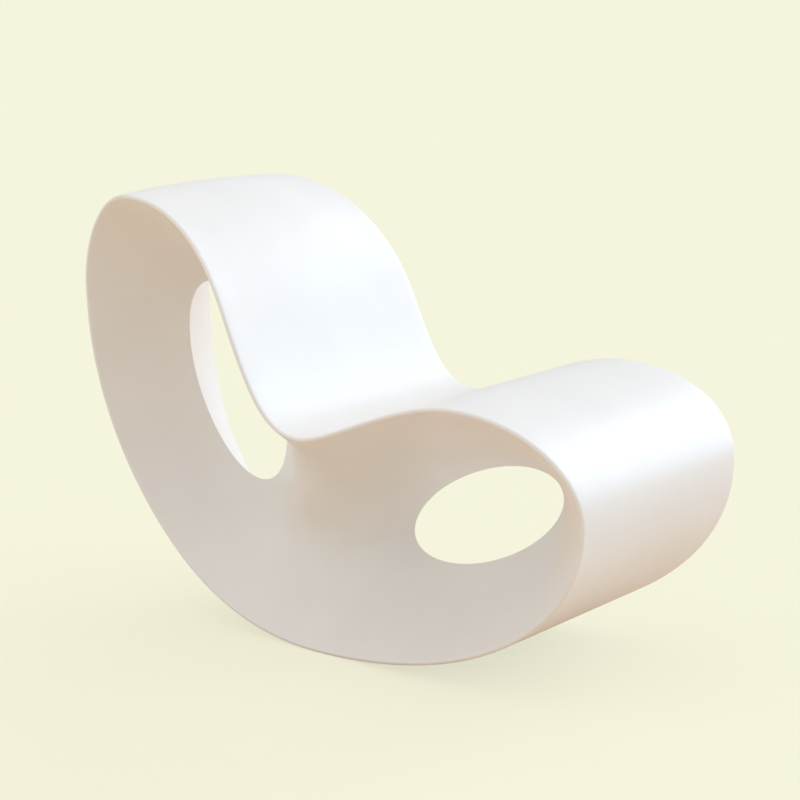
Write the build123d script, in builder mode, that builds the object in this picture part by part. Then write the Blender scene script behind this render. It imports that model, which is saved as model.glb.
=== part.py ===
from build123d import *
from build123d.topology import SkipClean

import os
from math import atan2, cos, hypot, pi, radians, sin, tan

import numpy as np

# Moulded rocking lounge chair, +X the way the sitter faces, +Y the sitter's left, +Z up.
# The origin is on the floor, at the middle of the chair's length and width.

# Side outline: the seven places that set it, the crown and lumbar set back from the rear end, the nose's
# top from its tip, mm
overall_length = 1140.0
overall_height = 790.0
crown_setback = 156.0
rear_z = 582.0
floor_x = -17.0
nose_tip_z = 334.0
nose_top_setback = 245.0
nose_height = 498.0
seat_x = 6.0
seat_height = 408.0
lumbar_setback = 417.0
lumbar_z = 611.0
back_lean = 26.4

# How far the outline runs on along its tangent before and after each place, mm
crown_reach = (134.0, 89.0)
rear_reach = (121.0, 302.0)
floor_reach = (368.0, 353.0)
nose_tip_reach = (188.0, 96.0)
nose_top_reach = (143.0, 114.0)
seat_reach = (66.0, 85.0)
lumbar_reach = (92.0, 97.0)

# Half the width of the band at its rim, at the seven places and halfway between them, mm
crown_half_width = 223.0
crown_rear_half_width = 192.0
rear_half_width = 174.0
rear_floor_half_width = 150.0
floor_half_width = 191.0
floor_nose_half_width = 228.0
nose_tip_half_width = 252.0
nose_shoulder_half_width = 275.0
nose_top_half_width = 278.0
seat_front_half_width = 280.0
seat_half_width = 273.0
seat_back_half_width = 274.0
lumbar_half_width = 273.0
lumbar_crown_half_width = 252.0

# The two through openings: the throats where the side skins meet at the middle plane, set back from the
# rear end and from the nose
back_throat_setback = 221.0
back_throat_z = 425.0
back_throat_long = 391.0
back_throat_short = 192.0
back_throat_tilt = 113.5
front_throat_setback = 351.0
front_throat_z = 247.0
front_throat_long = 336.0
front_throat_short = 158.0
front_throat_tilt = 23.5

# Keel down the pillar under the seat's dip: how far behind the middle of the two throats three of its places
# lie, their heights, and half the chair's thickness there
keel_setbacks = (20.0, 55.0, 45.0)
keel_heights = (310.0, 255.0, 190.0)
keel_half_widths = (118.0, 98.0, 75.0)

# Walls, and the adhesive bed left between bonded pieces
band_wall = 5.0
side_wall = 4.0
bond_gap = 0.3

# Bonded strips along the inside of each rim, and behind the two seams of the band
rim_strip_depth = 12.0
seam_strip_wall = 4.0
seam_strip_length = 70.0
crown_seam_angle = 120.0
nose_seam_angle = -40.0

# Stiffeners inside the sealed shell
web_wall = 6.0
rib_wall = 6.0
back_rib_gap = 42.0
nose_rib_gap = 80.0

# Fineness of the curved side skins
rim_points = 8
throat_points = 16
grid_step = 40.0
skin_tolerance = 0.2

rim_half_widths = (
    crown_half_width, crown_rear_half_width,
    rear_half_width, rear_floor_half_width,
    floor_half_width, floor_nose_half_width,
    nose_tip_half_width, nose_shoulder_half_width,
    nose_top_half_width, seat_front_half_width,
    seat_half_width, seat_back_half_width,
    lumbar_half_width, lumbar_crown_half_width,
)
rear_x = -overall_length / 2
nose_x = overall_length / 2
crown_x = rear_x + crown_setback
lumbar_x = rear_x + lumbar_setback
nose_top_x = nose_x - nose_top_setback
back_throat_x = rear_x + back_throat_setback
front_throat_x = nose_x - front_throat_setback
keel_x = (back_throat_x + front_throat_x) / 2
blank_half_width = max(rim_half_widths) + rim_strip_depth
block_size = 2 * (overall_length + overall_height)


def outline_curves(inset=0.0):
    """Control points of the outline's seven curves, set in from the outer face by a wall."""
    lean = radians(back_lean)
    knots = [
        ((crown_x, overall_height), (-1.0, 0.0), crown_reach),
        ((rear_x, rear_z), (0.0, -1.0), rear_reach),
        ((floor_x, 0.0), (1.0, 0.0), floor_reach),
        ((nose_x, nose_tip_z), (0.0, 1.0), nose_tip_reach),
        ((nose_top_x, nose_height), (-1.0, 0.0), nose_top_reach),
        ((seat_x, seat_height), (-1.0, 0.0), seat_reach),
        ((lumbar_x, lumbar_z), (-sin(lean), cos(lean)), lumbar_reach),
    ]
    curves = []
    for (start, leave, leave_reach), (end, arrive, arrive_reach) in zip(knots, knots[1:] + knots[:1]):
        # An inset moves each place along its inward normal and shortens the reaches of a bulging curve
        turn = atan2(leave[0] * arrive[1] - leave[1] * arrive[0], leave[0] * arrive[0] + leave[1] * arrive[1])
        change = inset * 4 / 3 * tan(turn / 4)
        first = Vector(start) + Vector(-leave[1], leave[0]) * inset
        last = Vector(end) + Vector(-arrive[1], arrive[0]) * inset
        second = first + Vector(leave) * (leave_reach[1] - change)
        third = last - Vector(arrive) * (arrive_reach[0] - change)
        curves.append((first, second, third, last))
    return curves


def curve_point(curve, share):
    """Point of a cubic curve at a share of its way."""
    rest = 1 - share
    weights = (rest**3, 3 * rest**2 * share, 3 * rest * share**2, share**3)
    return sum((point * weight for point, weight in zip(curve, weights)), Vector())


def rim_half_width(place):
    """Half width at a place counted along the listed ones, on a smooth closed curve through them."""
    first = int(place)
    share = place - first
    before, here, after, beyond = (rim_half_widths[(first + step) % len(rim_half_widths)] for step in (-1, 0, 1, 2))
    bend = 2 * before - 5 * here + 4 * after - beyond
    twist = 3 * (here - after) + beyond - before
    return here + share / 2 * (after - before + share * (bend + share * twist))


def throat_ring(centre_x, centre_z, long, short, tilt):
    """Points round one throat."""
    ring = []
    for step in range(throat_points):
        angle = 2 * pi * step / throat_points
        along = Vector(cos(radians(tilt)), sin(radians(tilt))) * (long / 2 * cos(angle))
        across = Vector(-sin(radians(tilt)), cos(radians(tilt))) * (short / 2 * sin(angle))
        ring.append(Vector(centre_x, centre_z) + along + across)
    return ring


# A side skin bends like a thin plate held at the rim, round the two throats and along the keel
held_places = []
held_depths = []
for number, curve in enumerate(outline_curves()):
    for step in range(rim_points):
        share = step / rim_points
        held_places.append(curve_point(curve, share))
        held_depths.append(rim_half_width(2 * (number + share)))
held_places += throat_ring(back_throat_x, back_throat_z, back_throat_long, back_throat_short, back_throat_tilt)
held_places += throat_ring(front_throat_x, front_throat_z, front_throat_long, front_throat_short, front_throat_tilt)
held_depths += [0.0] * (2 * throat_points)
held_places += [Vector(keel_x - setback, height) for setback, height in zip(keel_setbacks, keel_heights)]
held_depths += keel_half_widths
held = np.array([(place.X, place.Y) for place in held_places])


def bending_terms(points):
    """Thin plate terms of the given points: one for each held point, then the flat ones."""
    gaps = np.linalg.norm(points[:, None, :] - held[None, :, :], axis=2) / overall_length
    bending = gaps**2 * np.log(np.maximum(gaps, 1e-9))
    return np.hstack([bending, np.ones((len(points), 1)), points / overall_length])


held_terms = bending_terms(held)
flat_terms = held_terms[:, len(held):]
balance = np.hstack([flat_terms.T, np.zeros((3, 3))])
plate = np.linalg.solve(np.vstack([held_terms, balance]), np.concatenate([held_depths, np.zeros(3)]))


def side_depth(points, wall):
    """Distance of a side skin from the middle plane, a wall behind its face."""
    reach = 1.0
    slopes = [
        (bending_terms(points + step) - bending_terms(points - step)) @ plate / (2 * reach)
        for step in ((reach, 0.0), (0.0, reach))
    ]
    return bending_terms(points) @ plate - wall * np.sqrt(1 + slopes[0] ** 2 + slopes[1] ** 2)


def side_hollow(wall=0.0):
    """Solid of all that lies outside the sitter's right side skin, or outside a wall behind its face."""
    columns = np.arange(rear_x - grid_step, nose_x + 2 * grid_step, grid_step)
    rows = np.arange(-grid_step, overall_height + 2 * grid_step, grid_step)
    grid = []
    for x in columns:
        depths = side_depth(np.column_stack([np.full(len(rows), x), rows]), wall)
        grid.append([(x, -depth, z) for depth, z in zip(depths, rows)])
    skin = Face.make_surface_from_array_of_points(grid, tol=skin_tolerance, min_deg=3)
    with BuildPart() as hollow:
        extrude(skin, amount=block_size, dir=(0, -1, 0))
    return hollow.part


def band_form(inset):
    """Solid inside the band's face, set in by a wall."""
    with SkipClean(), BuildLine(Plane.XZ) as outline:
        for curve in outline_curves(inset):
            Bezier(*[(point.X, point.Y) for point in curve])
    with SkipClean(), BuildPart() as form:
        extrude(Face(outline.wire()), amount=blank_half_width, both=True, clean=False)
    return form.part


def right_of(distance):
    """Block of all that lies to the sitter's right of a plane at a distance from the middle."""
    with BuildPart() as block:
        with BuildSketch(Plane.XZ.offset(distance)):
            Rectangle(block_size, block_size)
        extrude(amount=block_size)
    return block.part


def seam_block(seam, length):
    """Block across the band at one seam, from the middle of the throat outwards."""
    centre, angle = seam
    with BuildPart() as block:
        with BuildSketch(Plane.XZ):
            with Locations(centre):
                Rectangle(block_size, length, rotation=angle, align=(Align.MIN, Align.CENTER))
        extrude(amount=block_size, both=True)
    return block.part


def keep(form):
    """Keep what the piece being made shares with a form."""
    add(form, clean=False, mode=Mode.INTERSECT)


def remove(form):
    """Cut a form away from the piece being made."""
    add(form, clean=False, mode=Mode.SUBTRACT)


def left_hand(form):
    """Mirror image of a form on the sitter's left."""
    return mirror(form, about=Plane.XZ, mode=Mode.PRIVATE)


def export_piece(piece, name):
    """Label a finished piece and write it."""
    piece.label = name
    export_step(piece, f"parts/{name}.step")


os.makedirs("parts", exist_ok=True)

outer_form = band_form(0.0)
wall_form = band_form(band_wall)
inner_form = band_form(band_wall + bond_gap)
strip_form = band_form(band_wall + bond_gap + rim_strip_depth)
strip_room_form = band_form(band_wall + 2 * bond_gap + rim_strip_depth)
seam_form = band_form(band_wall + bond_gap + seam_strip_wall)
seam_room_form = band_form(band_wall + 2 * bond_gap + seam_strip_wall)

face_hollow = side_hollow()
wall_hollow = side_hollow(side_wall)
bond_hollow = side_hollow(side_wall + bond_gap)
strip_hollow = side_hollow(side_wall + bond_gap + rim_strip_depth)
strip_room_hollow = side_hollow(side_wall + 2 * bond_gap + rim_strip_depth)

# The band parts at a seam behind the crown and one under the nose, each seen from the middle of its throat
crown_seam = ((back_throat_x, back_throat_z), crown_seam_angle)
nose_seam = ((front_throat_x, front_throat_z), nose_seam_angle)
with BuildPart() as seat_side:
    with BuildSketch(Plane.XZ):
        with BuildLine():
            crown_end = PolarLine(crown_seam[0], block_size, crown_seam[1])
            nose_end = PolarLine(nose_seam[0], block_size, nose_seam[1])
            Line(crown_seam[0], nose_seam[0])
            Polyline(crown_end @ 1, (block_size, block_size), nose_end @ 1)
        make_face()
    extrude(amount=block_size, both=True)

# Seat, back and nose in one skin, from the crown seam to the nose seam
with SkipClean(), BuildPart() as seat_back_skin:
    add(outer_form, clean=False)
    remove(wall_form)
    keep(seat_side.part)
    remove(face_hollow)
    remove(left_hand(face_hollow))
export_piece(seat_back_skin.part, "seat_back_skin")

# Rear and rocker in one skin, from the nose seam round underneath to the crown seam
with SkipClean(), BuildPart() as rocker_skin:
    add(outer_form, clean=False)
    remove(wall_form)
    remove(seat_side.part)
    remove(face_hollow)
    remove(left_hand(face_hollow))
export_piece(rocker_skin.part, "rocker_skin")

# Dished side skins, meeting at the middle plane round the throats
with SkipClean(), BuildPart() as side_skin:
    add(inner_form, clean=False)
    keep(wall_hollow)
    keep(right_of(0.0))
    remove(face_hollow)
export_piece(side_skin.part, "right_side_skin")
export_piece(left_hand(side_skin.part), "left_side_skin")

# Bonded strip in the corner behind each rim
with SkipClean(), BuildPart() as rim_strip:
    add(inner_form, clean=False)
    remove(strip_form)
    keep(strip_hollow)
    remove(bond_hollow)
export_piece(rim_strip.part, "right_rim_strip")
export_piece(left_hand(rim_strip.part), "left_rim_strip")

# Backing strip across the band behind each seam, between the rim strips
for name, seam in (("crown_seam_strip", crown_seam), ("nose_seam_strip", nose_seam)):
    with SkipClean(), BuildPart() as seam_strip:
        add(seam_block(seam, seam_strip_length), clean=False)
        keep(inner_form)
        remove(seam_form)
        remove(strip_room_hollow)
        remove(left_hand(strip_room_hollow))
    export_piece(seam_strip.part, name)

# Web on the middle plane, from the band to the throats, notched over the seam strips
with SkipClean(), BuildPart() as seam_room:
    for seam in (crown_seam, nose_seam):
        add(seam_block(seam, seam_strip_length + 2 * bond_gap), clean=False)
    remove(seam_room_form)
with SkipClean(), BuildPart() as centre_web:
    with BuildSketch(Plane.XZ):
        Rectangle(block_size, block_size)
    extrude(amount=web_wall / 2, both=True)
    keep(inner_form)
    remove(seam_room.part)
    remove(bond_hollow)
    remove(left_hand(bond_hollow))
export_piece(centre_web.part, "centre_web")

# Ribs from the web out to each side skin, set by the throats, with their corners clear of the rim strips
tilt = radians(back_throat_tilt)
back_throat_run = hypot(back_throat_long / 2 * cos(tilt), back_throat_short / 2 * sin(tilt))
back_throat_rise = hypot(back_throat_long / 2 * sin(tilt), back_throat_short / 2 * cos(tilt))
back_throat_shift = (back_throat_long**2 - back_throat_short**2) / 4 * sin(tilt) * cos(tilt) / back_throat_rise
tilt = radians(front_throat_tilt)
front_throat_run = hypot(front_throat_long / 2 * cos(tilt), front_throat_short / 2 * sin(tilt))
pillar_x = (back_throat_x + back_throat_run + front_throat_x - front_throat_run) / 2
ribs = {
    "back_rib": ((crown_x, back_throat_z + back_throat_rise + back_rib_gap), overall_length, rib_wall),
    "heel_rib": ((back_throat_x - back_throat_shift, 0.0), rib_wall, 2 * back_throat_z),
    "pillar_rib": ((pillar_x, overall_height / 2), rib_wall, overall_height),
    "nose_rib": ((front_throat_x + front_throat_run + nose_rib_gap, nose_height), rib_wall, 2 * nose_height),
}
with SkipClean(), BuildPart() as rim_room:
    add(strip_room_hollow, clean=False)
    remove(strip_room_form)
for name, (centre, length, height) in ribs.items():
    with SkipClean(), BuildPart() as rib:
        with BuildSketch(Plane.XZ.offset(web_wall / 2)):
            with Locations(centre):
                Rectangle(length, height)
        extrude(amount=blank_half_width)
        keep(inner_form)
        remove(bond_hollow)
        remove(rim_room.part)
    export_piece(rib.part, f"right_{name}")
    export_piece(left_hand(rib.part), f"left_{name}")
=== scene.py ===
"""Dresses the moulded rocking chair: its smooth white shell, the stiffeners inside it and a pale studio."""

import logging
import math
from dataclasses import dataclass, field
from enum import Enum

import bpy
import numpy as np
from mathutils import Matrix, Vector


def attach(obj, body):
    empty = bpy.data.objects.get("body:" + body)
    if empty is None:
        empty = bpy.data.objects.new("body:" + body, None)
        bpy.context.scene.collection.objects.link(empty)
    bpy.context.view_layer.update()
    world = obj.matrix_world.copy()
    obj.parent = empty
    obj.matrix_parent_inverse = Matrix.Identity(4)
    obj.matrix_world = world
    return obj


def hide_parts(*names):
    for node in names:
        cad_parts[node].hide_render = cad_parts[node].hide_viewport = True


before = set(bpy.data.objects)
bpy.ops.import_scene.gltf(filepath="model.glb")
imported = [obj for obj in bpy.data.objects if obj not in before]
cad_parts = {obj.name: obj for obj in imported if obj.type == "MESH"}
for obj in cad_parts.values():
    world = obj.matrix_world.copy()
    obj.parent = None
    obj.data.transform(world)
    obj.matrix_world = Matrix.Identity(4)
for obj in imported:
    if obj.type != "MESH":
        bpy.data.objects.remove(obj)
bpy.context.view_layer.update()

logging.basicConfig(level=logging.INFO, format="%(name)s: %(message)s")
LOG = logging.getLogger("rocking_chair")

MM = 0.001
WELD_GAP = 2e-5
LUMBAR_LEAN = math.radians(26.4)
NOISE_LOW = 0.3
NOISE_HIGH = 0.7
Colour = tuple[float, float, float]
Socket = bpy.types.NodeSocket
Material = bpy.types.Material


class Slot(Enum):
    """The record's material slot for the shell, which this script does not assign."""

    SHELL = "shell_white"


class DivideEnd(Enum):
    """Knots of the outline between which the two dishes of a side are divided."""

    FLOOR = 2
    SEAT = 5


class MixSocket(Enum):
    """Numbers of a mix node's sockets when it mixes colours."""

    SHARE = 0
    FIRST = 6
    SECOND = 7
    RESULT = 2


@dataclass(frozen=True)
class Knot:
    """One place of the side outline, in millimetres.

    Args:
        place: x and z of the place.
        heading: unit direction in which the outline passes it.
        reach: lengths of the tangents before and after it.
    """

    place: tuple[float, float]
    heading: tuple[float, float]
    reach: tuple[float, float]


@dataclass(frozen=True)
class Throat:
    """One oval opening where the two side dishes meet at the middle plane, in millimetres and degrees.

    Args:
        x: x of its centre.
        z: z of its centre.
        long: length of its long axis.
        short: length of its short axis.
        tilt: how far the long axis is turned up from x.
    """

    x: float
    z: float
    long: float
    short: float
    tilt: float

    def axes(self) -> np.ndarray:
        """Directions of the oval's long and short axes."""
        tilt = math.radians(self.tilt)
        return np.array([[math.cos(tilt), math.sin(tilt)], [-math.sin(tilt), math.cos(tilt)]])

    def ring(self, count: int) -> np.ndarray:
        """Places of a number of points spaced round the oval."""
        angles = np.arange(count) * 2 * math.pi / count
        return self.points(np.column_stack([np.cos(angles), np.sin(angles)]))

    def points(self, unit: np.ndarray) -> np.ndarray:
        """Places on the oval of unit vectors in its own axes."""
        return np.array([self.x, self.z]) + (unit * (self.long / 2, self.short / 2)) @ self.axes()

    def towards(self, targets: np.ndarray) -> np.ndarray:
        """Places where the oval is crossed on the way from its centre to each target."""
        unit = (targets - (self.x, self.z)) @ self.axes().T / (self.long / 2, self.short / 2)
        return self.points(unit / np.linalg.norm(unit, axis=1, keepdims=True))


@dataclass
class ShellForm:
    """The shape of the chair as formulas: the side outline, the rim's half width and the dish of the sides.

    All sizes are in millimetres. The half widths stand at each knot and half way to the next. Each point of
    the keel has its x and z and its distance from the middle plane.
    """

    knots: tuple[Knot, ...] = (
        Knot((-414, 790), (-1, 0), (134, 89)),
        Knot((-570, 582), (0, -1), (121, 302)),
        Knot((-17, 0), (1, 0), (368, 353)),
        Knot((570, 334), (0, 1), (188, 96)),
        Knot((325, 498), (-1, 0), (143, 114)),
        Knot((6, 408), (-1, 0), (66, 85)),
        Knot((-153, 611), (-math.sin(LUMBAR_LEAN), math.cos(LUMBAR_LEAN)), (92, 97)),
    )
    rim_half_widths: tuple[float, ...] = (
        223, 192, 174, 150, 191, 228, 252, 275, 278, 280, 273, 274, 273, 252,
    )
    widths_per_knot: int = 2
    back_throat: Throat = Throat(-349, 425, 391, 192, 113.5)
    front_throat: Throat = Throat(219, 247, 336, 158, 23.5)
    keel: tuple[tuple[float, float, float], ...] = ((-85, 310, 118), (-120, 255, 98), (-110, 190, 75))
    length: float = 1140.0
    rim_points: int = 8
    throat_points: int = 16
    outline_samples: int = 4001
    least_gap: float = 1e-9
    flat_terms: int = 3
    held: np.ndarray = field(init=False)
    plate: np.ndarray = field(init=False)

    def __post_init__(self) -> None:
        """Solves the thin plate that is held at the rim, round the two throats and along the keel."""
        places = np.arange(len(self.knots) * self.rim_points) / self.rim_points
        rim = self.outline(places)
        rings = [throat.ring(self.throat_points) for throat in (self.back_throat, self.front_throat)]
        keel = np.array(self.keel)
        self.held = np.vstack([rim, *rings, keel[:, :2]])
        depths = np.concatenate([self.half_width(places), np.zeros(2 * self.throat_points), keel[:, 2]])
        terms = self.terms(self.held)
        balance = np.hstack([terms[:, len(self.held):].T, np.zeros((self.flat_terms, self.flat_terms))])
        wanted = np.concatenate([depths, np.zeros(self.flat_terms)])
        self.plate = np.linalg.solve(np.vstack([terms, balance]), wanted)

    def outline(self, places: np.ndarray) -> np.ndarray:
        """Points of the side outline.

        Args:
            places: where along the outline, a whole number at each knot.

        Returns:
            Array of x and z.
        """
        points = np.empty((len(places), 2))
        for row, place in enumerate(places):
            number = int(place) % len(self.knots)
            share = place - int(place)
            first, last = self.knots[number], self.knots[(number + 1) % len(self.knots)]
            corners = np.array([
                first.place,
                np.add(first.place, np.multiply(first.heading, first.reach[1])),
                np.subtract(last.place, np.multiply(last.heading, last.reach[0])),
                last.place,
            ])
            rest = 1 - share
            points[row] = np.array([rest**3, 3 * rest**2 * share, 3 * rest * share**2, share**3]) @ corners
        return points

    def even_places(self, count: int) -> np.ndarray:
        """Places that divide the outline into equal lengths.

        Args:
            count: how many places.

        Returns:
            Array of places.
        """
        fine = np.linspace(0, len(self.knots), self.outline_samples)
        points = self.outline(fine)
        run = np.concatenate([[0], np.cumsum(np.linalg.norm(np.diff(points, axis=0), axis=1))])
        return np.interp(np.arange(count) / count * run[-1], run, fine)

    def half_width(self, places: np.ndarray) -> np.ndarray:
        """Half the width of the band at its rim, on a smooth closed curve through the listed ones.

        Args:
            places: where along the outline.

        Returns:
            Array of half widths.
        """
        widths = np.array(self.rim_half_widths)
        spots = places * self.widths_per_knot
        first = spots.astype(int)
        share = spots - first
        before, here, after, beyond = (widths[(first + step) % len(widths)] for step in (-1, 0, 1, 2))
        bend = 2 * before - 5 * here + 4 * after - beyond
        twist = 3 * (here - after) + beyond - before
        return here + share / 2 * (after - before + share * (bend + share * twist))

    def terms(self, points: np.ndarray) -> np.ndarray:
        """Thin plate terms of places in the side view.

        Args:
            points: array of x and z.

        Returns:
            A row for each place: one term for each held point, then the flat ones.
        """
        gaps = np.linalg.norm(points[:, None, :] - self.held[None, :, :], axis=2) / self.length
        bending = gaps**2 * np.log(np.maximum(gaps, self.least_gap))
        return np.hstack([bending, np.ones((len(points), 1)), points / self.length])

    def depth(self, points: np.ndarray) -> np.ndarray:
        """Distance of the dish from the middle plane at places of the side view."""
        return self.terms(points) @ self.plate


def deselect_all() -> None:
    """Leaves edit mode and selects nothing."""
    if bpy.context.mode != "OBJECT":
        bpy.ops.object.mode_set(mode="OBJECT")
    bpy.ops.object.select_all(action="DESELECT")


def make_active(piece: bpy.types.Object) -> None:
    """Selects one object alone and makes it the active one.

    Args:
        piece: the object.
    """
    deselect_all()
    piece.select_set(True)
    bpy.context.view_layer.objects.active = piece


def on_right(place: np.ndarray, across: np.ndarray) -> np.ndarray:
    """Places on the sitter's right, from x and z and the distance from the middle plane."""
    return np.column_stack([place[:, 0], -across, place[:, 1]])


def closed_sheet(rows: list[np.ndarray]) -> np.ndarray:
    """Stacks rows of places and repeats the first of each row at its end."""
    points = np.array(rows)
    return np.concatenate([points, points[:, :1]], axis=1)


def shaped_sheet(name: str, points: np.ndarray) -> bpy.types.Object:
    """Adds a flat grid and moves each of its points to its place.

    Args:
        name: the object's name.
        points: rows by columns by three array of places, in millimetres.

    Returns:
        The sheet.
    """
    rows, columns = points.shape[:2]
    deselect_all()
    bpy.ops.mesh.primitive_grid_add(x_subdivisions=columns - 1, y_subdivisions=rows - 1, size=1)
    sheet = bpy.context.active_object
    sheet.name = name
    sheet.data.vertices.foreach_set("co", (points * MM).astype(np.float32).ravel())
    sheet.data.update()
    return sheet


def weld(piece: bpy.types.Object) -> None:
    """Merges points that meet and turns all faces outwards.

    Args:
        piece: the object to weld.
    """
    make_active(piece)
    bpy.ops.object.mode_set(mode="EDIT")
    bpy.ops.mesh.select_all(action="SELECT")
    bpy.ops.mesh.remove_doubles(threshold=WELD_GAP)
    bpy.ops.mesh.normals_make_consistent(inside=False)
    bpy.ops.object.mode_set(mode="OBJECT")


def apply_modifier(piece: bpy.types.Object, kind: str, **settings: object) -> None:
    """Adds a modifier to a piece and applies it.

    Args:
        piece: the object to finish.
        kind: the modifier's type.
        settings: values of the modifier.
    """
    make_active(piece)
    modifier = piece.modifiers.new(kind.lower(), kind)
    for key, value in settings.items():
        setattr(modifier, key, value)
    bpy.ops.object.modifier_apply(modifier=modifier.name)


@dataclass(frozen=True)
class Grain:
    """A noise pattern.

    Args:
        scale: how many waves to a metre.
        detail: how many finer layers.
        roughness: how strong the finer layers are.
    """

    scale: float
    detail: float
    roughness: float


class NodeTree:
    """A small helper that adds and links shader nodes."""

    def __init__(self, name: str) -> None:
        """Starts a new material with a principled shader.

        Args:
            name: the material's name.
        """
        self.material = bpy.data.materials.new(name)
        self.material.use_nodes = True
        self.tree = self.material.node_tree
        self.shader = next(node for node in self.tree.nodes if node.type == "BSDF_PRINCIPLED")
        self.place = self.add("ShaderNodeTexCoord").outputs["Object"]

    def add(self, kind: str, **settings: object) -> bpy.types.Node:
        """Adds a node.

        Args:
            kind: the node's type.
            settings: its own values.

        Returns:
            The node.
        """
        node = self.tree.nodes.new(kind)
        for key, value in settings.items():
            setattr(node, key, value)
        return node

    def noise(self, grain: Grain) -> Socket:
        """Noise on the object's own coordinates.

        Args:
            grain: the pattern.

        Returns:
            The noise's value.
        """
        node = self.add("ShaderNodeTexNoise")
        node.inputs["Scale"].default_value = grain.scale
        node.inputs["Detail"].default_value = grain.detail
        node.inputs["Roughness"].default_value = grain.roughness
        self.tree.links.new(self.place, node.inputs["Vector"])
        return node.outputs["Fac"]

    def spread(self, value: Socket, low: float, high: float) -> Socket:
        """Maps a noise's middle range to a range of values.

        Args:
            value: the noise.
            low: result at the noise's low end.
            high: result at its high end.

        Returns:
            The mapped value.
        """
        node = self.add("ShaderNodeMapRange")
        ends = (("From Min", NOISE_LOW), ("From Max", NOISE_HIGH), ("To Min", low), ("To Max", high))
        for name, number in ends:
            node.inputs[name].default_value = number
        self.tree.links.new(value, node.inputs["Value"])
        return node.outputs["Result"]

    def mottle(self, grain: Grain, first: Colour, second: Colour) -> Socket:
        """Mixes two colours by a noise.

        Args:
            grain: the noise's pattern.
            first: colour where the noise is low.
            second: colour where it is high.

        Returns:
            The colour.
        """
        share = self.spread(self.noise(grain), 0, 1)
        node = self.add("ShaderNodeMix", data_type="RGBA")
        node.inputs[MixSocket.FIRST.value].default_value = (*first, 1)
        node.inputs[MixSocket.SECOND.value].default_value = (*second, 1)
        self.tree.links.new(share, node.inputs[MixSocket.SHARE.value])
        return node.outputs[MixSocket.RESULT.value]

    def bump(self, height: Socket, strength: float, distance: float) -> Socket:
        """Turns a height into a normal.

        Args:
            height: the relief.
            strength: how strong it is.
            distance: its depth in metres.

        Returns:
            The normal.
        """
        node = self.add("ShaderNodeBump")
        node.inputs["Strength"].default_value = strength
        node.inputs["Distance"].default_value = distance
        self.tree.links.new(height, node.inputs["Height"])
        return node.outputs["Normal"]

    def drive(self, socket: str, value: Socket) -> None:
        """Links a value to a socket of the shader."""
        self.tree.links.new(value, self.shader.inputs[socket])

    def fix(self, **values: object) -> None:
        """Gives sockets of the shader fixed values, each named with underscores for spaces."""
        for name, value in values.items():
            self.shader.inputs[name.replace("_", " ")].default_value = value


def show_camera(tree: bpy.types.NodeTree, seen: Socket, lit: Socket, output: str) -> None:
    """Shows the camera one shader while all other light meets another.

    Args:
        tree: the node tree to add to.
        seen: the shader that the camera sees.
        lit: the shader for all other light.
        output: the name of the tree's output node.
    """
    mix = tree.nodes.new("ShaderNodeMixShader")
    shader_inputs = [socket for socket in mix.inputs if socket.type == "SHADER"]
    tree.links.new(tree.nodes.new("ShaderNodeLightPath").outputs["Is Camera Ray"], mix.inputs["Fac"])
    for shader, socket in zip((lit, seen), shader_inputs):
        tree.links.new(shader, socket)
    tree.links.new(mix.outputs["Shader"], tree.nodes[output].inputs["Surface"])


@dataclass(frozen=True)
class Finish:
    """A finish with a mottled colour, an uneven sheen and a fine relief.

    Args:
        name: the material's name.
        light: colour where the mottle is low.
        shade: colour where the mottle is high.
        mottle: pattern of the colour.
        sheen: pattern of the roughness.
        smooth: roughness where the sheen's pattern is low.
        dull: roughness where it is high.
        relief: pattern of the relief.
        relief_strength: how strong the relief is.
        relief_depth: its depth in metres.
    """

    name: str
    light: Colour
    shade: Colour
    mottle: Grain
    sheen: Grain
    smooth: float
    dull: float
    relief: Grain
    relief_strength: float
    relief_depth: float

    def nodes(self) -> NodeTree:
        """Makes the finish.

        Returns:
            Its nodes, with the material.
        """
        nodes = NodeTree(self.name)
        nodes.drive("Base Color", nodes.mottle(self.mottle, self.light, self.shade))
        nodes.drive("Roughness", nodes.spread(nodes.noise(self.sheen), self.smooth, self.dull))
        height = nodes.noise(self.relief)
        nodes.drive("Normal", nodes.bump(height, self.relief_strength, self.relief_depth))
        return nodes

    def material(self) -> Material:
        """The finished material."""
        return self.nodes().material


@dataclass(frozen=True)
class SatinShell(Finish):
    """Satin white moulding: a soft sheen, a faint mottle and the fine relief of a moulded skin."""

    name: str = "satin_white_moulding"
    light: Colour = (0.90, 0.885, 0.86)
    shade: Colour = (0.875, 0.855, 0.825)
    mottle: Grain = Grain(6.0, 3.0, 0.5)
    sheen: Grain = Grain(38.0, 4.0, 0.6)
    smooth: float = 0.36
    dull: float = 0.46
    relief: Grain = Grain(420.0, 2.0, 0.5)
    relief_strength: float = 0.12
    relief_depth: float = 0.0004
    refraction: float = 1.47
    coat: float = 0.08
    coat_roughness: float = 0.3

    def material(self) -> Material:
        """Makes the finish and its thin coat.

        Returns:
            The material.
        """
        nodes = self.nodes()
        nodes.fix(IOR=self.refraction, Coat_Weight=self.coat, Coat_Roughness=self.coat_roughness)
        return nodes.material


@dataclass(frozen=True)
class CoreSheet(Finish):
    """Raw sheet of the web and ribs inside: dull and off-white, with a mottle and a rough relief."""

    name: str = "raw_core_sheet"
    light: Colour = (0.74, 0.72, 0.68)
    shade: Colour = (0.66, 0.64, 0.60)
    mottle: Grain = Grain(14.0, 4.0, 0.6)
    sheen: Grain = Grain(60.0, 3.0, 0.5)
    smooth: float = 0.55
    dull: float = 0.75
    relief: Grain = Grain(300.0, 3.0, 0.6)
    relief_strength: float = 0.2
    relief_depth: float = 0.0005


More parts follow.
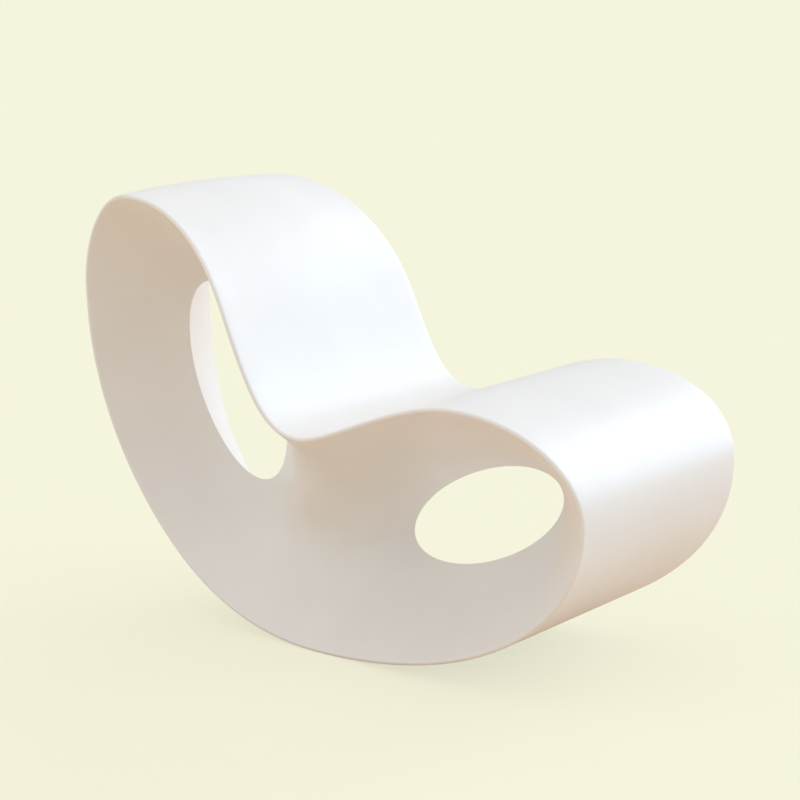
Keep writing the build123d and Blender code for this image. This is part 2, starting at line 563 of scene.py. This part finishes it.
@dataclass(frozen=True)
class BondStrip(Finish):
    """Adhesive-coated joining strips: greyer, with glossier and duller patches."""

    name: str = "bonded_strip"
    light: Colour = (0.60, 0.60, 0.58)
    shade: Colour = (0.50, 0.50, 0.47)
    mottle: Grain = Grain(25.0, 4.0, 0.6)
    sheen: Grain = Grain(45.0, 3.0, 0.5)
    smooth: float = 0.3
    dull: float = 0.6
    relief: Grain = Grain(160.0, 3.0, 0.6)
    relief_strength: float = 0.3
    relief_depth: float = 0.0008


@dataclass
class OuterShell:
    """The white shell that is seen: the band, its rolled rims and the two dished sides, in one skin.

    Sizes are in millimetres and angles in degrees.
    """

    form: ShellForm
    rim_radius: float = 4.2
    rim_fade: float = 60.0
    rim_steps: int = 12
    heading_step: float = 1e-3
    slope_guess: float = 1.5
    slope_rounds: int = 6
    slope_reach: float = 2.0
    fade_floor: float = 0.1
    outline_steps: int = 420
    band_rows: int = 22
    dish_rows: int = 30
    divide_steps: int = 48
    divide_middle: tuple[float, float] = (-120.0, 235.0)
    throat_edge: float = 2.2
    throat_edge_steps: int = 3
    throat_edge_angle: float = 38.0
    smooth_angle: float = 40.0
    crown_lift: float = 8.6
    crown_start: float = 560.0
    crown_top: float = 790.0
    crown_half_width: float = 226.0
    rim: np.ndarray = field(init=False)
    inward: np.ndarray = field(init=False)
    width: np.ndarray = field(init=False)
    slope: np.ndarray = field(init=False)
    roll_across: np.ndarray = field(init=False)
    stand: np.ndarray = field(init=False)
    dish_edge: np.ndarray = field(init=False)
    piece: bpy.types.Object = field(init=False)

    def rim_frame(self) -> None:
        """Works out the rim's rolled edge and where it meets the dish, at each step of the outline."""
        places = self.form.even_places(self.outline_steps)
        self.rim = self.form.outline(places)
        along = self.form.outline((places + self.heading_step) % len(self.form.knots)) - self.rim
        along /= np.linalg.norm(along, axis=1, keepdims=True)
        self.inward = np.column_stack([-along[:, 1], along[:, 0]])
        self.width = self.form.half_width(places)
        reach = self.inward * self.slope_reach
        self.slope = np.full(len(self.rim), self.slope_guess)
        for _ in range(self.slope_rounds):
            lean = np.sqrt(1 + self.slope**2)
            roll_in = self.rim_radius * (1 + self.slope / lean)
            self.roll_across = self.rim_radius * (1 - 1 / lean)
            self.dish_edge = self.rim + self.inward * roll_in[:, None]
            drop = self.form.depth(self.dish_edge - reach) - self.form.depth(self.dish_edge + reach)
            self.stand = self.width - self.roll_across - self.form.depth(self.dish_edge)
            fall = drop / (2 * self.slope_reach)
            self.slope = (self.slope + (fall + self.stand / self.rim_fade)) / 2

    def dish_depth(self, points: np.ndarray) -> np.ndarray:
        """Depth of the dish with room left for the rolled rim.

        Args:
            points: array of x and z.

        Returns:
            Distances from the middle plane.
        """
        depths = self.form.depth(points)
        gaps = np.linalg.norm(points[:, None, :] - self.dish_edge[None, :, :], axis=2)
        nearest = np.argmin(gaps, axis=1)
        distance = np.take_along_axis(gaps, nearest[:, None], axis=1)[:, 0]
        full = self.width[nearest] - self.roll_across[nearest] - self.stand[nearest]
        share = np.clip(depths / full, 0, None)
        lift = self.stand[nearest] * np.exp(-distance / self.rim_fade) * share
        return depths + lift / (self.fade_floor + (1 - self.fade_floor) * share)

    def band_points(self) -> np.ndarray:
        """Places of the band and its rolled rim on the sitter's right, from the middle outwards.

        Returns:
            Rows by columns by three array of places.
        """
        rows = []
        for share in np.linspace(0, 1, self.band_rows)[:-1]:
            rows.append(on_right(self.rim, share * (self.width - self.rim_radius)))
        turn = math.pi / 2 + np.arctan(self.slope)
        for step in range(self.rim_steps + 1):
            angle = turn * step / self.rim_steps
            inset = self.rim_radius * (1 - np.cos(angle))
            across = self.width - self.rim_radius * (1 - np.sin(angle))
            rows.append(on_right(self.rim + self.inward * inset[:, None], across))
        return closed_sheet(rows)

    def dish_points(self, throat: Throat, loop: np.ndarray) -> np.ndarray:
        """Places of the dish round one throat, from the throat's edge out to a closed loop.

        Args:
            throat: the opening.
            loop: x and z round the outside.

        Returns:
            Rows by columns by three array of places.
        """
        inner = throat.towards(loop)
        rows = [on_right(inner, np.zeros(len(inner)))]
        for share in np.linspace(0, 1, self.dish_rows)[1:]:
            place = inner + (loop - inner) * share
            rows.append(on_right(place, self.dish_depth(place)))
        return closed_sheet(rows)

    def dish_loops(self) -> tuple[np.ndarray, np.ndarray]:
        """Divides a side between its throats, along a curve from the seat to the floor.

        Returns:
            x and z round the back dish, and x and z round the front one.
        """
        floor, seat = (
            int(np.argmin(np.linalg.norm(self.rim - self.form.knots[end.value].place, axis=1)))
            for end in DivideEnd
        )
        shares = np.linspace(0, 1, self.divide_steps)[1:-1, None]
        start, end = self.dish_edge[seat], self.dish_edge[floor]
        middle = np.array(self.divide_middle)
        divide = (1 - shares) ** 2 * start + 2 * shares * (1 - shares) * middle + shares**2 * end
        front_rim = self.dish_edge[floor:seat + 1]
        back_rim = np.concatenate([self.dish_edge[seat:], self.dish_edge[:floor + 1]])
        return np.concatenate([back_rim, divide[::-1]]), np.concatenate([front_rim, divide])

    def bowed(self, points: np.ndarray) -> np.ndarray:
        """Bows the top of the back across its width, as it is moulded.

        Args:
            points: array of places.

        Returns:
            The same places, bowed.
        """
        share = np.clip((points[..., 2] - self.crown_start) / (self.crown_top - self.crown_start), 0, 1)
        weight = share**2 * (3 - 2 * share)
        bow = self.crown_lift * (1 - np.clip(np.abs(points[..., 1]) / self.crown_half_width, 0, 1) ** 2)
        bowed = points.copy()
        bowed[..., 2] += weight * bow
        return bowed

    def build(self) -> bpy.types.Object:
        """Builds the right half from three sheets, welds and mirrors it, and eases the throats' edges.

        Returns:
            The finished shell.
        """
        self.rim_frame()
        back_loop, front_loop = self.dish_loops()
        shapes = {
            "band": self.band_points(),
            "back_dish": self.dish_points(self.form.back_throat, back_loop),
            "front_dish": self.dish_points(self.form.front_throat, front_loop),
        }
        sheets = [shaped_sheet(name, self.bowed(points)) for name, points in shapes.items()]
        make_active(sheets[0])
        for sheet in sheets:
            sheet.select_set(True)
        bpy.ops.object.join()
        shell = bpy.context.active_object
        shell.name = "moulded_shell"
        weld(shell)
        apply_modifier(shell, "MIRROR", use_axis=(False, True, False), merge_threshold=WELD_GAP)
        weld(shell)
        apply_modifier(
            shell, "BEVEL", width=self.throat_edge * MM, segments=self.throat_edge_steps,
            limit_method="ANGLE", angle_limit=math.radians(self.throat_edge_angle), use_clamp_overlap=True,
        )
        make_active(shell)
        bpy.ops.object.shade_smooth_by_angle(angle=math.radians(self.smooth_angle))
        self.piece = shell
        return shell

    def dress(self, finish: Finish) -> None:
        """Gives the shell its finish, hangs it on the root body and hides the four CAD skins in its place.

        Args:
            finish: the shell's finish.
        """
        self.piece.data.materials.clear()
        self.piece.data.materials.append(finish.material())
        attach(self.piece, "root")
        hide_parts("seat_back_skin", "rocker_skin", "left_side_skin", "right_side_skin")


@dataclass
class HiddenStructure:
    """The web, ribs and joining strips sealed inside the shell, shown by their CAD nodes."""

    core: Finish = CoreSheet()
    bond: Finish = BondStrip()
    core_nodes: tuple[str, ...] = (
        "centre_web", "left_back_rib", "right_back_rib", "left_heel_rib", "right_heel_rib",
        "left_pillar_rib", "right_pillar_rib", "left_nose_rib", "right_nose_rib",
    )
    bond_nodes: tuple[str, ...] = (
        "left_rim_strip", "right_rim_strip", "crown_seam_strip", "nose_seam_strip",
    )

    def dress(self) -> None:
        """Gives each hidden node its finish."""
        for names, finish in ((self.core_nodes, self.core), (self.bond_nodes, self.bond)):
            made = finish.material()
            for name in names:
                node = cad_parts[name]
                node.data.materials.clear()
                node.data.materials.append(made)
                LOG.info("dressed %s", name)


@dataclass(frozen=True)
class BroadLight:
    """One broad even light.

    Args:
        name: the light's name.
        towards: direction from the chair to the light.
        power: what it gives in red, green and blue, in watts per square metre.
        spread: the angle that it fills, in degrees.
    """

    name: str
    towards: tuple[float, float, float]
    power: Colour
    spread: float

    def build(self) -> None:
        """Adds the light to the scene."""
        data = bpy.data.lights.new(self.name, "SUN")
        data.energy = max(self.power)
        data.color = [part / data.energy for part in self.power]
        data.angle = math.radians(self.spread)
        lamp = bpy.data.objects.new(self.name, data)
        bpy.context.scene.collection.objects.link(lamp)
        lamp.rotation_euler = Vector(self.towards).to_track_quat("Z", "Y").to_euler()


@dataclass
class Studio:
    """Pale floor, soft light and the camera at the photograph's angle.

    Lengths are in metres and angles in degrees. The focal length, the centre of view and the picture's side
    are in pixels.
    """

    azimuth: float = 36.178
    elevation: float = 11.985
    distance: float = 4.2756
    focal_pixels: float = 2371.3
    centre: tuple[float, float] = (387.3, 420.93)
    target_height: float = 0.390
    picture: float = 800.0
    paper: Colour = (0.905, 0.896, 0.723)
    floor_size: float = 240.0
    floor_drop: float = 0.0005
    floor_colour: Colour = (0.949, 0.935, 0.715)
    floor_grain: Grain = Grain(0.7, 2.0, 0.5)
    floor_darker: float = 0.985
    floor_roughness: float = 0.9
    floor_sheen: float = 0.0
    floor_glow: float = 0.75
    floor_bounce: Colour = (0.80, 0.62, 0.44)
    low_light: Colour = (0.49, 0.61, 0.685)
    top_light: Colour = (0.81, 0.80, 0.80)
    top_light_start: float = 0.8
    lights: tuple[BroadLight, ...] = (
        BroadLight("front_light", (0.9, 0.3, 0.35), (0.25, 0.37, 0.49), 40),
        BroadLight("top_light", (0.1, 0.1, 1.0), (0.28, 0.16, 0.06), 60),
        BroadLight("left_light", (-0.6, -0.65, 0.45), (0.255, 0.21, 0.165), 60),
        BroadLight("far_light", (0.2, 0.93, 0.3), (1.10, 1.32, 1.62), 40),
    )

    def axes(self) -> tuple[Vector, Vector, Vector]:
        """Works out which way the camera faces.

        Returns:
            Its right, up and backward directions.
        """
        azimuth, elevation = math.radians(self.azimuth), math.radians(self.elevation)
        level = math.cos(elevation)
        back = Vector((math.sin(azimuth) * level, -math.cos(azimuth) * level, math.sin(elevation)))
        right = Vector((math.cos(azimuth), math.sin(azimuth), 0))
        return right, back.cross(right), back

    def camera(self) -> None:
        """Places the camera."""
        data = bpy.data.cameras.new("photo_camera")
        data.lens = self.focal_pixels / self.picture * data.sensor_width
        data.shift_x = (self.picture / 2 - self.centre[0]) / self.picture
        data.shift_y = (self.centre[1] - self.picture / 2) / self.picture
        camera = bpy.data.objects.new("photo_camera", data)
        bpy.context.scene.collection.objects.link(camera)
        right, up, back = self.axes()
        place = back * self.distance + Vector((0, 0, self.target_height))
        turn = Matrix((right, up, back)).transposed().to_4x4()
        camera.matrix_world = Matrix.Translation(place) @ turn
        bpy.context.scene.camera = camera

    def floor(self) -> None:
        """Lays a large pale floor that glows towards the camera and bounces a warmer light than it shows."""
        deselect_all()
        bpy.ops.mesh.primitive_plane_add(size=self.floor_size, location=(0, 0, -self.floor_drop))
        floor = bpy.context.active_object
        floor.name = "studio_floor"
        nodes = NodeTree("studio_paper")
        paler = tuple((1 - self.floor_glow) * part for part in self.floor_colour)
        darker = tuple(self.floor_darker * part for part in paler)
        nodes.drive("Base Color", nodes.mottle(self.floor_grain, paler, darker))
        nodes.fix(
            Roughness=self.floor_roughness, Specular_IOR_Level=self.floor_sheen,
            Emission_Color=(*self.paper, 1), Emission_Strength=self.floor_glow,
        )
        bounce = nodes.add("ShaderNodeBsdfDiffuse")
        bounce.inputs["Color"].default_value = (*self.floor_bounce, 1)
        show_camera(nodes.tree, nodes.shader.outputs["BSDF"], bounce.outputs["BSDF"], "Material Output")
        floor.data.materials.append(nodes.material)

    def world(self) -> None:
        """Surrounds the chair with light, neutral overhead and cooler and dimmer low down."""
        world = bpy.data.worlds.new("studio_world")
        world.use_nodes = True
        tree = world.node_tree
        lit = tree.nodes["Background"]
        height = tree.nodes.new("ShaderNodeSeparateXYZ")
        tree.links.new(tree.nodes.new("ShaderNodeTexCoord").outputs["Generated"], height.inputs["Vector"])
        ramp = tree.nodes.new("ShaderNodeValToRGB")
        stops = ((0.0, self.low_light), (self.top_light_start, self.top_light))
        for stop, (position, colour) in zip(ramp.color_ramp.elements, stops):
            stop.position = position
            stop.color = (*colour, 1)
        tree.links.new(height.outputs["Z"], ramp.inputs["Fac"])
        tree.links.new(ramp.outputs["Color"], lit.inputs["Color"])
        seen = tree.nodes.new("ShaderNodeBackground")
        seen.inputs["Color"].default_value = (*self.paper, 1)
        show_camera(tree, seen.outputs["Background"], lit.outputs["Background"], "World Output")
        bpy.context.scene.world = world

    def light(self) -> None:
        """Lights the chair all round, and from the front, above, the picture's left and the far side."""
        bpy.context.scene.view_settings.view_transform = "Standard"
        self.world()
        for light in self.lights:
            light.build()


def main() -> None:
    """Builds the shell, dresses what is inside it, and sets up the studio."""
    shell = OuterShell(ShellForm())
    piece = shell.build()
    shell.dress(SatinShell())
    LOG.info("built %s with %d faces", piece.name, len(piece.data.polygons))
    HiddenStructure().dress()
    studio = Studio()
    studio.camera()
    studio.floor()
    studio.light()


if __name__ == "__main__":
    main()
